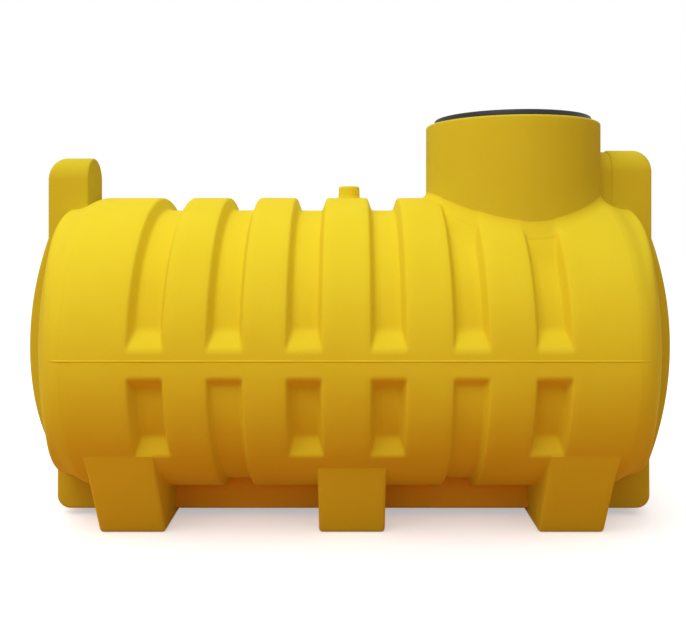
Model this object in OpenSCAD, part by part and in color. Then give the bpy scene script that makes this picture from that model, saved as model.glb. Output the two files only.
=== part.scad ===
// Horizontal rotationally moulded tank for household waste water.
// X runs along the barrel, +X towards the manhole and inlet end, +Z up.
// The origin is on the ground under the middle of the tank. Millimetres.

/* [Barrel] */
// outside diameter over the raised bands
barrel_d = 1120; // [1000:10:1200]
// length between the outer edges of the two end bands
barrel_l = 1960; // [1900:10:2100]
// height of the barrel axis above the ground
axis_h = 680; // [660:5:720]
// wall thickness of the moulding
wall = 8; // [6:1:12]

/* [Stiffening grooves] */
// depth of a groove below the bands
groove_depth = 50; // [30:1:60]
// groove width at the band surface
groove_w = 120; // [90:1:140]
// draft angle of the groove flanks
groove_draft = 19; // [10:1:25]
// distance between the two grooves beside the middle band
centre_pitch = 280; // [260:1:300]
// shift of the middle band from the middle of the tank
centre_shift = -11.5; // [-20:0.5:20]
// groove pitch on the outlet side
outlet_pitch = 263; // [250:1:275]
// groove pitch on the inlet side
inlet_pitch = 273.5; // [250:0.5:275]

/* [Belt at the parting line] */
// angle above the axis where the upper grooves have run out
belt_top_angle = 3.7; // [2:0.1:6]
// angle where the ramp of an upper groove reaches the groove floor
ramp_top_angle = 11; // [9:0.1:14]
// angle below the axis where the lower grooves begin
belt_low_angle = 6.2; // [4:0.1:8]
// angle where that ramp reaches the groove floor
ramp_low_angle = 13; // [11:0.1:16]
// angle where the floor of a groove above a foot begins to rise
foot_floor_angle = 33.4; // [30:0.1:35]
// angle where it has reached the band surface
foot_ramp_angle = 39; // [37:0.1:41]
// height and thickness of the bead left by the parting line
bead_h = 7; // [3:1:10]
// how far the bead stands out
bead_t = 3; // [1:0.5:5]

/* [Ends] */
// how far the plain ring outside the end bands lies below them
ring_step = 47; // [40:1:70]
// length of the bevel from the end band down to the ring
bevel_l = 35; // [30:1:37]
// how far the crown of a dished end stands out past the bevel
dish_reach = 152; // [147:1:170]
// radius of the dished end in plan, at the height of the axis
dish_plan_r = 1000; // [980:10:1100]
// radius of the dished end seen from the side, in the middle of the tank
dish_side_r = 1430; // [1350:10:1500]
// how far the edge of an end rib stands off the crown of the dished end
rib_h = 81.5; // [70:0.5:90]
// radius of that edge, seen from the side
rib_r = 1248.5; // [1230:0.5:1260]
// how far the centre of the rib edge lies below the axis
rib_drop = 20; // [0:1:30]

/* [Spine: end ribs, pipe housings and keel] */
// width of the spine, the same for ribs, housings and keel
spine_w = 180; // [150:2:220]
// how far the pipe face of a housing stands out past the bevel of the barrel
housing_reach = 159.5; // [155:0.5:170]
// length of a housing along the tank
housing_l = 155; // [140:1:170]
// top of the inlet housing above the barrel axis
inlet_top = 749; // [720:1:780]
// top of the outlet housing above the barrel axis
outlet_top = 718; // [700:1:740]
// radius of the outer top corner of a housing
housing_corner = 48; // [20:1:60]
// height above the axis where the end rib ends and the housing begins
housing_foot = 405; // [390:1:420]
// how far the keel runs out past the bevel under the inlet
keel_in_reach = 153; // [130:1:157]
// how far it runs out under the outlet
keel_out_reach = 125; // [110:1:145]
// depth of the keel below the barrel axis
keel_depth = 652; // [630:1:655]
// radius of the lower keel corners
keel_corner = 50; // [20:1:60]
// depth below the axis where the end rib ends and the keel begins
keel_top = 462; // [440:1:480]

/* [Pipe connections] */
// outside diameter of the drain pipe
pipe_d = 110; // [100:10:125]
// clearance of the pipe in the seal, on the diameter
pipe_gap = 0.8; // [0.4:0.1:1.5]
// thickness of the rubber sleeve in the wall
seal_t = 7; // [5:1:9]
// inlet pipe axis above the barrel axis
inlet_pipe_z = 512; // [500:1:520]
// outlet pipe axis above the barrel axis
outlet_pipe_z = 482; // [480:1:495]
// diameter of the seal flange
seal_flange_d = 146; // [140:2:150]
// thickness of the seal flange
seal_flange_t = 4; // [3:1:8]

/* [Feet] */
// width of a foot along the tank
foot_w = 245; // [220:1:260]
// distance between feet
foot_pitch = 806; // [780:1:810]
// shift of the feet from the middle of the tank
foot_shift = 7; // [-10:1:10]
// half width of the sole across the tank
sole_y = 255; // [240:1:290]
// angle below the axis where the outer feet leave the barrel
foot_angle = 38.2; // [36:0.1:39]
// the same for the middle foot
mid_foot_angle = 45.8; // [40:0.1:47]

/* [Manhole] */
// distance of the manhole from the middle of the tank
neck_x = 646; // [630:1:650]
// outside diameter of the manhole neck
neck_d = 680; // [640:2:690]
// top of the neck above the barrel axis
neck_top = 846; // [800:2:860]
// how far the rim is turned in from the outside of the neck
rim_w = 60; // [45:1:80]
// thickness of the rim
rim_t = 14; // [10:1:18]
// how far the lid laps over the rim
lid_lap = 26; // [15:1:35]
// height of the lid at its edge
lid_h = 20; // [14:1:25]
// thickness of the lid plate
lid_t = 6; // [4:1:8]
// rise of the lid from its edge to its crown
lid_crown = 6; // [3:1:12]
// thickness of the gasket under the lid
gasket_t = 2; // [2:1:4]
// gap between the rim and the spigot under the lid
spigot_gap = 6; // [2:0.5:12]

/* [Vent boss] */
// shift of the boss from the middle of the middle band
vent_shift = 8; // [-20:1:20]
// diameter of the boss on the middle band
vent_d = 84; // [60:2:90]
// height of the boss above the band
vent_h = 46; // [20:1:60]

/* [Hidden] */
$fn = 120;
R = barrel_d / 2;
ring_r = R - ring_step;
end_x = barrel_l / 2;
ring_x = end_x + bevel_l;
dish_x = ring_x + dish_reach - dish_plan_r;
rib_x = ring_x + dish_reach + rib_h - rib_r;
housing_x = ring_x + housing_reach;
keel_in_x = ring_x + keel_in_reach;
keel_out_x = ring_x + keel_out_reach;
rim_open_d = neck_d - 2 * rim_w;
lid_d = rim_open_d + 2 * lid_lap;
spigot_d = rim_open_d - 2 * spigot_gap;
over = 2 * wall; // how far the cutting shapes run past what they cut
draft = tan(groove_draft);
groove_x = concat(
    [for (i = [2:-1:0]) centre_shift - centre_pitch / 2 - i * outlet_pitch],
    [for (i = [0:2]) centre_shift + centre_pitch / 2 + i * inlet_pitch]);
// grooves 2 and 5 run on under the tank, the others stop above the feet
through = [false, true, false, false, true, false];
foot_x = [for (i = [-1:1]) foot_shift + i * foot_pitch];
hole_r = (pipe_d + pipe_gap) / 2 + seal_t;
yellow = [0.93, 0.80, 0.18];
black = [0.07, 0.07, 0.08];
rubber = [0.12, 0.12, 0.13];

// ---- helpers -------------------------------------------------------------

// turns a profile drawn as [radius, x] about the barrel axis, between two angles
// measured from the front of the tank (-Y) upwards
module about_axis(a1 = 0, a2 = 360)
    translate([0, 0, axis_h]) rotate([0, 90, 0]) rotate([0, 0, 270 - a2])
        rotate_extrude(angle = a2 - a1) children();

// extrudes an outline drawn as [y, z above the axis] along X
module along_x(x1, x2)
    translate([x1, 0, axis_h]) rotate([90, 0, 90]) linear_extrude(x2 - x1) children();

// extrudes an outline drawn as [x, z above the axis] across the spine
module across(w)
    translate([0, w / 2, axis_h]) rotate([90, 0, 0]) linear_extrude(w) children();

// point in the cross-section at an angle below (-) or above (+) the front of the axis
function at(a, r) = [-r * cos(a), r * sin(a)];

// distance along x that a wall of thickness t takes on a slope that rises h over l
function slant(t, l, h) = t * (sqrt(l * l + h * h) - l) / h;

// barrel between the outer ends of the bevels, shrunk by t on every side; seam is the
// angle where its turned surface starts, kept out of the piece that is cut from it
module barrel_blank(t = 0, seam = 0) {
    s = slant(t, bevel_l, R - ring_r);
    about_axis(seam, seam + 360) polygon([[0, -ring_x], [ring_r - t, -ring_x],
        [ring_r - t, -ring_x + s], [R - t, -end_x + s],
        [R - t, end_x - s], [ring_r - t, ring_x - s], [ring_r - t, ring_x], [0, ring_x]]);
}

// drafted groove profile at x, widened and deepened by t
module groove_profile(x, t = 0) {
    rf = R - groove_depth - t;
    grow = t / cos(groove_draft);
    wf = groove_w / 2 - (R - rf) * draft + grow;
    wo = groove_w / 2 + over * draft + grow;
    polygon([[rf, x - wf], [rf, x + wf], [R + over, x + wo], [R + over, x - wo]]);
}

// a ramp climbs from the groove floor at angle af to the band surface at angle as:
// its foot, its direction down to the floor, and its normal into the wall
function ramp_foot(af) = at(af, R - groove_depth);
function ramp_dir(af, as) = let (v = ramp_foot(af) - at(as, R)) v / norm(v);
function ramp_in(af, as) = let (d = ramp_dir(af, as), n = [-d[1], d[0]])
    n * (at(2 * as - af, R) - at(as, R)) > 0 ? n : -n;

// point where the ramp, moved by the wall into the skin, leaves the inner surface
function ramp_inner(af, as) = let (d = ramp_dir(af, as), p = at(as, R) + ramp_in(af, as) * wall,
    b = p * d, c = p * p - (R - wall) * (R - wall)) p - d * (sqrt(b * b - c) + b);

// everything on the belt side of a ramp, moved by t into the wall
module ramp_side(x, af, as, t = 0) {
    side = ramp_in(af, as);
    a = at(as, R) - ramp_dir(af, as) * groove_w / 2 + side * t;
    b = ramp_foot(af) + ramp_dir(af, as) * groove_w / 2 + side * t;
    c = side * 1.3 * groove_w;
    along_x(x - groove_w, x + groove_w) polygon([a, b, b + c, a + c]);
}

// one upper groove, from belt to belt over the top
module upper_groove(x, t = 0) difference() {
    about_axis(belt_top_angle - 3, 183 - belt_top_angle) groove_profile(x, t);
    ramp_side(x, ramp_top_angle, belt_top_angle, t);
    mirror([0, 1, 0]) ramp_side(x, ramp_top_angle, belt_top_angle, t);
}

// one lower groove: a pocket on each side, or all the way round underneath
module lower_groove(x, on, t = 0) {
    if (on) difference() {
        about_axis(177 + belt_low_angle, 363 - belt_low_angle) groove_profile(x, t);
        ramp_side(x, -ramp_low_angle, -belt_low_angle, t);
        mirror([0, 1, 0]) ramp_side(x, -ramp_low_angle, -belt_low_angle, t);
    } else for (m = [0, 1]) mirror([0, m, 0]) difference() {
        about_axis(-foot_ramp_angle - 3, 3 - belt_low_angle) groove_profile(x, t);
        ramp_side(x, -ramp_low_angle, -belt_low_angle, t);
        ramp_side(x, -foot_floor_angle, -foot_ramp_angle, t);
    }
}

module barrel(t = 0, seam = 0) difference() {
    barrel_blank(t, seam);
    for (i = [0:5]) {
        upper_groove(groove_x[i], t);
        lower_groove(groove_x[i], through[i], t);
    }
}

// ring and dished end beyond the bevel, at the +X end, shrunk by t; the dish is an arc
// seen from the side, turned about an upright axis
module dome(t = 0) intersection() {
    about_axis() polygon([[0, ring_x], [ring_r - t, ring_x],
        [ring_r - t, ring_x + dish_reach + over], [0, ring_x + dish_reach + over]]);
    translate([dish_x, 0, axis_h]) rotate([0, 0, 180]) rotate_extrude($fn = 240) intersection() {
        translate([dish_plan_r - dish_side_r, 0]) circle(dish_side_r - t, $fn = 240);
        translate([0, -R]) square([2 * dish_plan_r, 2 * R]);
    }
}

// mirrors to the outlet end
module outlet() mirror([1, 0, 0]) children();

// the two edges of the belt, each a line across the wall just past the start of the ramps
belt_edge = 0.06;
function turn(p, a) = [p[0] * cos(a) + p[1] * sin(a), p[1] * cos(a) - p[0] * sin(a)];
function belt_line(af, as) = let (a = as > 0 ? belt_edge : -belt_edge)
    [turn(at(as, R), a), turn(ramp_inner(af, as), a)];
belt_top = belt_line(ramp_top_angle, belt_top_angle);
belt_low = belt_line(-ramp_low_angle, -belt_low_angle);
function outside(e) = e[0] + (e[0] - e[1]) * 3;
function inside(e) = e[1] - (e[0] - e[1]) * 3;

// smooth belt along the front, between the upper and the lower grooves
module belt() intersection() {
    difference() { barrel_blank(0, 180); barrel_blank(wall, 180); }
    along_x(-ring_x, ring_x) polygon([outside(belt_top), inside(belt_top),
        inside(belt_low), outside(belt_low)]);
}

// front half of the barrel's skin above (up = 1) or below (up = -1) the belt
module skin(up) {
    e = up > 0 ? belt_top : belt_low;
    intersection() {
        difference() { barrel(0, 180 + up * 45); barrel(wall, 180 + up * 45); }
        along_x(-ring_x, ring_x) polygon([outside(e), inside(e), [0, 0], [0, up * 2 * R],
            [-2 * R, up * 2 * R]]);
    }
}

// inside of a housing, left open to the tank
module housing_hollow(top) intersection() {
    across(spine_w - 2 * wall) housing_side(top, wall);
    along_x(ring_x - over, housing_x) housing_front(top, wall);
}

// side view of a housing, with one rounded top corner
module housing_side(top, t) {
    c = housing_corner;
    difference() {
        translate([housing_x - housing_l + t, housing_foot + t])
            square([housing_l - 2 * t, top - housing_foot - 2 * t]);
        translate([housing_x - c, top - c]) square(2 * c);
    }
    intersection() {
        translate([housing_x - c, top - c]) circle(c - t);
        translate([housing_x - c, top - c]) square(c);
    }
}

// end view of a housing: straight sides and a round top
module housing_front(top, t) {
    translate([0, top - spine_w / 2]) circle(spine_w / 2 - t);
    translate([-spine_w / 2 + t, housing_foot - over])
        square([spine_w - 2 * t, top - spine_w / 2 - housing_foot + over]);
}

// pipe housing at the +X end
module housing(top, pipe_z) difference() {
    intersection() {
        across(spine_w) housing_side(top, 0);
        along_x(housing_x - housing_l, housing_x) housing_front(top, 0);
    }
    housing_hollow(top);
    barrel_blank();
    dome();
    translate([housing_x - over, 0, axis_h + pipe_z]) rotate([0, 90, 0]) cylinder(h = 2 * over, r = hole_r);
}

// rubber seal for the pipe at the +X end
module seal(pipe_z) translate([housing_x, 0, axis_h + pipe_z]) rotate([0, 90, 0]) difference() {
    union() {
        translate([0, 0, -wall]) cylinder(h = wall, r = hole_r);
        cylinder(h = seal_flange_t, d = seal_flange_d);
        translate([0, 0, -wall - seal_flange_t]) cylinder(h = seal_flange_t, r = hole_r + seal_t - 2);
    }
    translate([0, 0, -wall - over]) cylinder(h = wall + 2 * over, d = pipe_d + pipe_gap);
}

// one end rib, a channel that stands on the dished end, at the +X end
module end_rib() difference() {
    rib_slab(spine_w, rib_r);
    rib_slab(spine_w - 2 * wall, rib_r - wall);
    dome();
    translate([ring_x, -spine_w, axis_h + housing_foot]) cube([rib_r, 2 * spine_w, R]);
    translate([ring_x, -spine_w, axis_h - keel_top - R]) cube([rib_r, 2 * spine_w, R]);
}

module rib_slab(w, r) intersection() {
    translate([rib_x, w / 2, axis_h - rib_drop]) rotate([90, 0, 0]) cylinder(h = w, r = r, $fn = 240);
    translate([ring_x + dish_reach / 4, -w, 0]) cube([rib_r, 2 * w, 2 * axis_h]);
}

// side view of the keel between x1 and x2, with rounded ends where asked
module keel_side(x1, x2, t, round1, round2) {
    c = keel_corner;
    difference() {
        translate([x1, -keel_depth + t]) square([x2 - x1, keel_depth - keel_top - t]);
        if (round1) translate([x1 - c, -keel_depth - c]) square(2 * c);
        if (round2) translate([x2 - c, -keel_depth - c]) square(2 * c);
    }
    if (round1) intersection() {
        translate([x1 + c - t, -keel_depth + c]) circle(c - t);
        translate([x1, -keel_depth]) square(c);
    }
    if (round2) intersection() {
        translate([x2 - c + t, -keel_depth + c]) circle(c - t);
        translate([x2 - c, -keel_depth]) square(c);
    }
}

// hollow keel between x1 and x2; e1 and e2 are 1 at the free ends of the keel
module keel(x1, x2, e1 = 0, e2 = 0) difference() {
    across(spine_w) keel_side(x1, x2, 0, e1 == 1, e2 == 1);
    across(spine_w - 2 * wall) keel_side(x1 + e1 * wall, x2 - e2 * wall, wall, e1 == 1, e2 == 1);
    barrel(0);
    dome();
    outlet() dome();
}

// hollow saddle foot at x, from the barrel at angle a down to the ground
module foot(x, a) difference() {
    foot_block(x, a, 0);
    foot_block(x, a, wall);
    barrel(0);
}

module foot_block(x, a, t) {
    p = at(-a, R);
    rise = axis_h + p[1];
    run = -p[0] - sole_y;
    s = t * sqrt(rise * rise + run * run) / rise;
    k = run / rise;
    along_x(x - foot_w / 2 + t, x + foot_w / 2 - t) polygon([
        [p[0] + s, p[1]], [-sole_y + s - t * k, -axis_h + t],
        [sole_y - s + t * k, -axis_h + t], [-p[0] - s, p[1]]]);
}

// ---- sub-parts -----------------------------------------------------------

module upper_front_shell() color(yellow) difference() {
    skin(1);
    manhole_hole();
}
module upper_back_shell() color(yellow) mirror([0, 1, 0]) upper_front_shell();
module lower_front_shell() color(yellow) skin(-1);
module lower_back_shell() color(yellow) mirror([0, 1, 0]) skin(-1);
module belt_front() color(yellow) belt();
module belt_back() color(yellow) mirror([0, 1, 0]) belt();

module manhole_hole()
    translate([neck_x, 0, axis_h]) cylinder(h = neck_top, d = neck_d - 2 * wall);

module end_dome_inlet() color(yellow) difference() {
    dome();
    dome(wall);
    housing_hollow(inlet_top);
}
module end_dome_outlet() color(yellow) outlet() difference() {
    dome();
    dome(wall);
    housing_hollow(outlet_top);
}
module end_rib_inlet() color(yellow) end_rib();
module end_rib_outlet() color(yellow) outlet() end_rib();
module housing_inlet() color(yellow) housing(inlet_top, inlet_pipe_z);
module housing_outlet() color(yellow) outlet() housing(outlet_top, outlet_pipe_z);
module seal_inlet() color(rubber) seal(inlet_pipe_z);
module seal_outlet() color(rubber) outlet() seal(outlet_pipe_z);

module keel_end_outlet() color(yellow) keel(-keel_out_x, foot_x[0] - foot_w / 2, 1, 0);
module keel_outlet() color(yellow) keel(foot_x[0] + foot_w / 2, foot_x[1] - foot_w / 2);
module keel_inlet() color(yellow) keel(foot_x[1] + foot_w / 2, foot_x[2] - foot_w / 2);
module keel_end_inlet() color(yellow) keel(foot_x[2] + foot_w / 2, keel_in_x, 0, 1);

module foot_outlet() color(yellow) foot(foot_x[0], foot_angle);
module foot_centre() color(yellow) foot(foot_x[1], mid_foot_angle);
module foot_inlet() color(yellow) foot(foot_x[2], foot_angle);

// neck with its turned-in rim; its lower edge follows bands and grooves
module manhole_neck() color(yellow) difference() {
    translate([neck_x, 0, axis_h]) cylinder(h = neck_top, d = neck_d);
    translate([neck_x, 0, axis_h - 1]) cylinder(h = neck_top - rim_t + 1, d = neck_d - 2 * wall);
    translate([neck_x, 0, axis_h]) cylinder(h = neck_top + 1, d = rim_open_d);
    barrel(0);
}

module lid_gasket() color(rubber) translate([neck_x, 0, axis_h + neck_top]) difference() {
    cylinder(h = gasket_t, d = lid_d - 8);
    translate([0, 0, -1]) cylinder(h = gasket_t + 2, d = rim_open_d);
}

// domed lid plate with a skirt on the gasket and a spigot that drops inside the rim
module manhole_lid() color(black) translate([neck_x, 0, axis_h + neck_top + gasket_t])
    rotate_extrude() {
        difference() {
            polygon([[0, 0], [lid_d / 2, 0], [lid_d / 2, lid_h - 7], [lid_d / 2 - 7, lid_h],
                [lid_d * 0.44, lid_h + 2], [lid_d / 4, lid_h + 0.8 * lid_crown], [0, lid_h + lid_crown]]);
            polygon([[-1, -1], [lid_d / 2 - 22, -1], [lid_d / 2 - 22, lid_h - lid_t],
                [lid_d / 4, lid_h + 0.8 * lid_crown - lid_t], [-1, lid_h + lid_crown - lid_t]]);
        }
        translate([spigot_d / 2 - lid_t, -rim_t]) square([lid_t, rim_t + lid_h - lid_t / 2]);
    }

module vent_boss() color(yellow) translate([centre_shift + vent_shift, 0, axis_h]) difference() {
    union() {
        cylinder(h = R + vent_h - 10, d = vent_d);
        translate([0, 0, R + vent_h - 10]) cylinder(h = 10, d1 = vent_d, d2 = vent_d - 20);
    }
    translate([-100, 0, 0]) rotate([0, 90, 0]) cylinder(h = 200, r = R);
}

module parting_bead()
    translate([-end_x, -R - bead_t, axis_h - bead_h / 2]) cube([barrel_l, bead_t, bead_h]);
module parting_bead_front() color(yellow) parting_bead();
module parting_bead_back() color(yellow) mirror([0, 1, 0]) parting_bead();

upper_front_shell();
upper_back_shell();
lower_front_shell();
lower_back_shell();
belt_front();
belt_back();
end_dome_inlet();
end_dome_outlet();
end_rib_inlet();
end_rib_outlet();
housing_inlet();
housing_outlet();
seal_inlet();
seal_outlet();
keel_end_outlet();
keel_outlet();
keel_inlet();
keel_end_inlet();
foot_outlet();
foot_centre();
foot_inlet();
manhole_neck();
lid_gasket();
manhole_lid();
vent_boss();
parting_bead_front();
parting_bead_back();
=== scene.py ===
import math

import bpy
import numpy as np
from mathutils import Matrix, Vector


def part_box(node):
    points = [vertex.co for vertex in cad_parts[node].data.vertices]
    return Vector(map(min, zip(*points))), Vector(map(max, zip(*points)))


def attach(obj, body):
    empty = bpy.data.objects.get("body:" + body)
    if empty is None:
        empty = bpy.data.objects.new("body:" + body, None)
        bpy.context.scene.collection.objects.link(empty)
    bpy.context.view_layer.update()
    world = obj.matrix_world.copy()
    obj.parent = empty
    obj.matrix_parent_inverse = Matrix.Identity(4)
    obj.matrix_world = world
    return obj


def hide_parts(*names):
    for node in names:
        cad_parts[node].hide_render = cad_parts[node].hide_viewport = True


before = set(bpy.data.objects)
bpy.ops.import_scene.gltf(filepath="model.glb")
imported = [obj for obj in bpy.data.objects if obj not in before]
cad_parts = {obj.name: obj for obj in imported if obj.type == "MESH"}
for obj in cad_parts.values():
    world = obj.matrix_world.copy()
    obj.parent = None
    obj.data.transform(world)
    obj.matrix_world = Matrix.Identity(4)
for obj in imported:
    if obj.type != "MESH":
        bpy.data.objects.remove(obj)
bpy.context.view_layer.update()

bl_info = {
    "name": "Horizontal septic tank",
    "version": (1, 0, 0),
    "blender": (4, 5, 0),
    "location": "3D View > Sidebar > Tank",
    "description": "Moulded skins, lid, seals and studio for a horizontal plastic septic tank",
    "category": "Object",
}

# Places read from the parts in model.glb. x runs along the barrel, y across it, z up.
AXIS_Z = sum(c.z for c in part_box("parting_bead_front")) / 2
TOP_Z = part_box("upper_front_shell")[1].z
SEAM_X = 0.960     # where the skins of barrel and ends meet
BAND_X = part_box("parting_bead_front")[1].x
NECK_X = sum(c.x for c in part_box("manhole_neck")) / 2
NECK_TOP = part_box("manhole_neck")[1].z
VENT_X = sum(c.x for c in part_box("vent_boss")) / 2
VENT_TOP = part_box("vent_boss")[1].z
SKIN_TUCK = 0.004  # how far skins reach in under the neck
DEG = math.pi / 180


# ---- sizes and colours ----------------------------------------------------------

def length(name, about, value):
    return bpy.props.FloatProperty(name=name, description=about, default=value, min=0,
                                   subtype="DISTANCE", unit="LENGTH")


def angle(name, about, degrees):
    return bpy.props.FloatProperty(name=name, description=about, default=degrees * DEG,
                                   subtype="ANGLE", unit="ROTATION")


def tint(name, about, value):
    return bpy.props.StringProperty(name=name, description=about + ", as an sRGB hex value",
                                    default=value)


class TankBodySizes(bpy.types.PropertyGroup):
    """Barrel and dished ends."""
    radius: length("Band radius", "Outside radius of the raised bands", TOP_Z - AXIS_Z)
    ring_radius: length("Ring radius", "Radius at the end of the shoulder", 0.519)
    shoulder_run: length("Shoulder run", "Length of the shoulder from the end band", 0.050)
    wall: length("Wall", "Thickness of the moulded wall", 0.008)
    band_edge: length("Band edge", "Rounding of the edges of a band", 0.008)
    shoulder: length("Shoulder", "Rounding of the shoulders at both ends", 0.030)
    dish_plan: length("Dish in plan", "Radius of the dished ends seen from above", 1.0)
    dish_side: length("Dish from the side", "Radius of the dished ends seen from the side", 1.800)
    dish_reach: length("Dish reach", "Distance from the middle to the crown of a dish", 1.171)
    knuckle: length("Knuckle", "Rounding between shoulder and dished end", 0.015)
    ripple: length("Ripple", "Height of the slow unevenness of the skin", 0.0009)
    ripple_fade: length("Ripple fade", "Length over which it fades out at the seams", 0.080)


class TankGrooveSizes(bpy.types.PropertyGroup):
    """Stiffening grooves round the barrel."""
    places: bpy.props.FloatVectorProperty(
        name="Places", description="Distance of each groove from the middle of the tank",
        size=6, subtype="XYZ_LENGTH", unit="LENGTH",
        default=(-0.6775, -0.4145, -0.1515, 0.1285, 0.402, 0.6755))
    through: bpy.props.BoolVectorProperty(
        name="Through", description="Grooves that run on under the tank", size=6,
        default=(False, True, False, False, True, False))
    depth: length("Depth", "Depth of a groove below the bands", 0.050)
    through_depth: length("Through depth", "Depth below of a groove that runs through", 0.028)
    width: length("Width", "Width of a groove at the band surface", 0.120)
    draft: angle("Draft", "Lean of the groove flanks", 19)
    floor_edge: length("Floor edge", "Rounding along the groove floor", 0.008)
    top_start: angle("Top start", "Height above the axis where upper grooves begin", 3.7)
    top_floor: angle("Top floor", "Height where the upper ramp reaches the floor", 11)
    low_start: angle("Low start", "Depth below the axis where lower grooves begin", 6.2)
    low_floor: angle("Low floor", "Depth where the lower ramp reaches the floor", 11)
    foot_floor: angle("Foot floor", "Depth where the floor above a foot begins to rise", 33.4)
    foot_end: angle("Foot end", "Depth where it has reached the band surface", 38.1)


class TankSpineSizes(bpy.types.PropertyGroup):
    """End ribs, keel and pipe housings."""
    half_width: length("Half width", "Half the width of the spine", 0.090)
    edge: length("Edge", "Rounding of the outer edges of the spine", 0.012)
    flare: length("Flare", "Rounding where the spine meets the body", 0.028)
    rib_radius: length("Rib radius", "Radius of the outer edge of an end rib", 1.2485)
    rib_drop: length("Rib drop", "How far the centre of that edge lies below the axis", 0.020)
    keel_depth: length("Keel depth", "Depth of the keel below the axis", 0.652)
    keel_corner: length("Keel corner", "Rounding of the lower keel corners", 0.050)
    keel_top: length("Keel top", "Depth below the axis where rib turns into keel", 0.462)
    keel_inlet: length("Keel inlet", "Reach of the keel under the inlet", 1.168)
    keel_outlet: length("Keel outlet", "Reach of the keel under the outlet", 1.140)
    face: length("Face", "Distance from the middle to the pipe faces", 1.1745)
    housing_length: length("Housing length", "Length of a housing along the tank", 0.155)
    inlet_top: length("Inlet top", "Top of the inlet housing above the axis", 0.749)
    outlet_top: length("Outlet top", "Top of the outlet housing above the axis", 0.718)
    inlet_pipe: length("Inlet pipe", "Inlet pipe axis above the barrel axis", 0.512)
    outlet_pipe: length("Outlet pipe", "Outlet pipe axis above the barrel axis", 0.482)
    housing_corner: length("Housing corner", "Rounding of the outer top of a housing", 0.048)
    web_step: length("Web step", "How far the web beside the neck is set in", 0.006)
    hole_radius: length("Hole radius", "Radius of the hole for the seal", 0.0624)
    pipe_radius: length("Pipe radius", "Radius of the bore of a seal", 0.0554)


class TankFootSizes(bpy.types.PropertyGroup):
    """Saddle feet."""
    places: bpy.props.FloatVectorProperty(
        name="Places", description="Middle of each foot along the tank", size=3,
        subtype="XYZ_LENGTH", unit="LENGTH", default=(-0.799, 0.007, 0.813))
    half_length: length("Half length", "Half the length of a foot along the tank", 0.1225)
    sole: length("Sole", "Half width of the sole across the tank", 0.255)
    sole_corner: length("Sole corner", "Rounding between sole and flank", 0.018)
    end_angle: angle("End angle", "Where the outer feet leave the barrel, below the axis", 38.2)
    middle_angle: angle("Middle angle", "The same for the middle foot", 45.8)
    edge: length("Edge", "Rounding of the edges of a foot", 0.013)
    flare: length("Flare", "Rounding where a foot meets the barrel", 0.010)


class TankManholeSizes(bpy.types.PropertyGroup):
    """Neck, rim, lid and vent boss."""
    neck_radius: length("Neck radius", "Outside radius of the neck", 0.340)
    collar_depth: length("Collar depth", "Depth of a groove where it meets the neck", 0.001)
    collar_slope: angle("Collar slope", "Slope on which a groove runs out to the neck", 36)
    rim_width: length("Rim width", "How far the rim is turned in", 0.060)
    rim_height: length("Rim height", "Thickness of the rim", 0.014)
    rim_edge: length("Rim edge", "Rounding of the outer rim edge", 0.010)
    base_flare: length("Base flare", "Rounding at the foot of the neck", 0.026)
    lid_radius: length("Lid radius", "Radius of the lid", 0.306)
    lid_height: length("Lid height", "Height of the lid at its edge", 0.020)
    lid_crown: length("Lid crown", "Rise of the lid to its middle", 0.006)
    gasket: length("Gasket", "Thickness of the gasket under the lid", 0.002)
    vent_radius: length("Vent radius", "Radius of the vent boss", 0.042)


class TankFinishes(bpy.types.PropertyGroup):
    """Colours of the materials and the studio."""
    yellow: tint("Yellow", "Yellow pigment of the polyethylene", "#EBD52B")
    yellow_deep: tint("Deep yellow", "The same pigment where the skin is thicker", "#E3C825")
    # painted shade: a darker copy of the yellow for neck, housings, ribs and keel
    yellow_dull: tint("Shaded yellow", "The same on neck, housings, ribs and keel", "#D8C328")
    yellow_dull_deep: tint("Deep dull yellow", "The same where the skin is thicker", "#CFB623")
    # painted shade: warm ochre shade blended low on the keel, under the barrel
    keel_painted_shade: tint("Keel painted shade", "Painted warm shade low down on the keel", "#F8BC2A")
    black: tint("Black", "Black plastic of the lid", "#0D0D0C")
    rubber: tint("Rubber", "Black rubber of seals and gasket", "#141414")
    speck: tint("Speck", "Undispersed pigment in the yellow skin", "#C9A414")
    scuff: tint("Scuff", "Whitened plastic where the skin is scuffed", "#F4E79A")
    dust: tint("Dust", "Dust on the lid", "#6B6A66")
    talc: tint("Talc", "Talc on the rubber", "#5C5C58")
    floor: tint("Floor", "Studio floor", "#FAFAFA")
    bounce: tint("Bounce", "What the floor throws back onto the tank", "#C7825C")


# ---- surfaces -------------------------------------------------------------------

def coords(*parts):
    """Points from their coordinates, each of which is an array or a number for all."""
    return np.stack(np.broadcast_arrays(*parts), -1)


def round_join(a, b, r):
    """Union of two fields that are positive in air, with the edge between them rounded:
    the distance of (a + r, b + r) from the origin, less r."""
    return np.minimum(-r, np.maximum(a, b)) + np.hypot(np.maximum(a + r, 0), np.maximum(b + r, 0))


def round_meet(a, b, r):
    """Intersection of two such fields with a rounded inner corner: r less the distance
    of (r - a, r - b) from the origin."""
    return np.maximum(r, np.minimum(a, b)) - np.hypot(np.maximum(r - a, 0), np.maximum(r - b, 0))


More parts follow.
